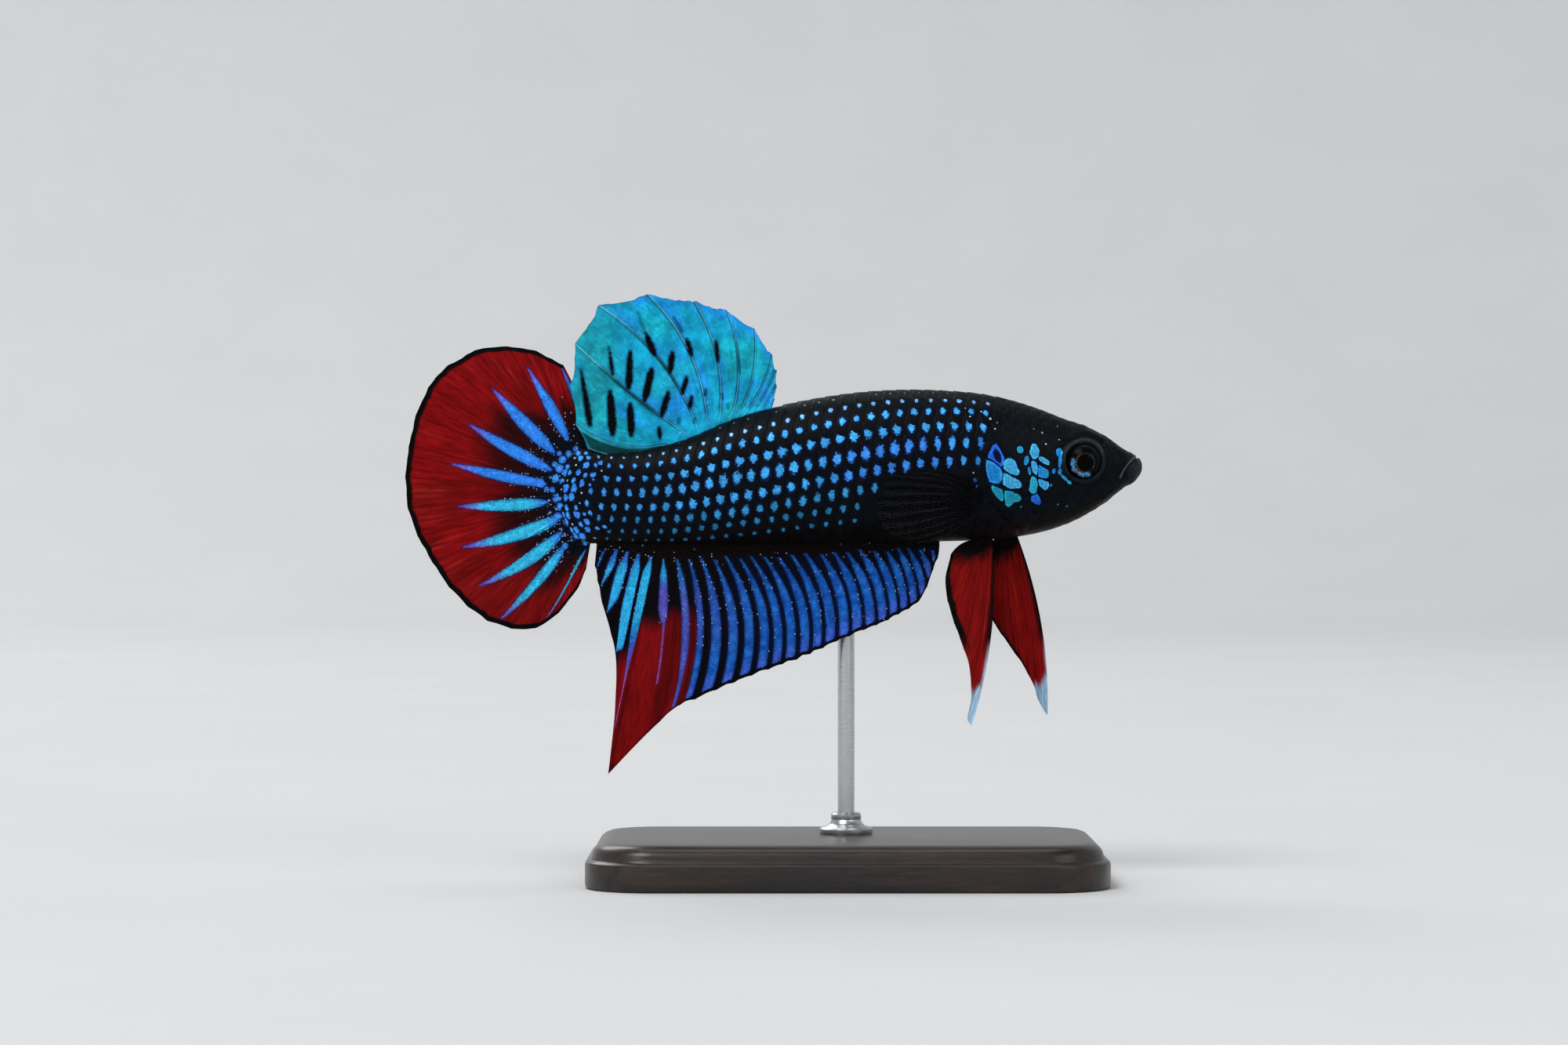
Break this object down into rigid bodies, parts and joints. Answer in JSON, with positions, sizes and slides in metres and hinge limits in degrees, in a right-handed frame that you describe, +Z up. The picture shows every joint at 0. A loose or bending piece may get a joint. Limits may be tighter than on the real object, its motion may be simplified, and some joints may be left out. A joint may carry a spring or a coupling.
{
  "type": "betta fish model",
  "caption": "Life-size still model of a male betta fish with spread fins, held over a flat base by a short rod.",
  "frame": {"origin": "middle of the stand base's underside, on the floor", "axes": "+X forward, the way the fish faces; +Y to the fish's left; +Z up"},
  "size_m": [0.0659, 0.028, 0.0524],
  "materials": {
    "skin": "moist black scaled skin with bright blue scale spots",
    "eye": "polished dark eye with a thin copper rim",
    "turquoise_fin": "iridescent turquoise membrane with fine rays",
    "red_tail_fin": "deep red membrane, black edge and blue streaks",
    "blue_fin": "royal blue stripes on black, red at the rear lobe",
    "red_pelvic_fin": "deep red with black edges and pale tips",
    "smoky_fin": "dark smoky membrane with faint rays",
    "black_lacquer": "black satin lacquer",
    "steel_rod": "brushed"
  },
  "bodies": {
    "root": {"head": "skin", "lower_jaw": "skin", "gill_cover_right": "skin", "gill_cover_left": "skin", "trunk": "skin", "tail": "skin", "eye_right": "eye", "eye_left": "eye", "dorsal_fin": "turquoise_fin", "caudal_fin": "red_tail_fin", "anal_fin": "blue_fin", "pelvic_fin_right": "red_pelvic_fin", "pelvic_fin_left": "red_pelvic_fin", "pectoral_fin_right": "smoky_fin", "pectoral_fin_left": "smoky_fin", "stand_base": "black_lacquer", "stand_rod": "steel_rod"}
  },
  "joints": []
}
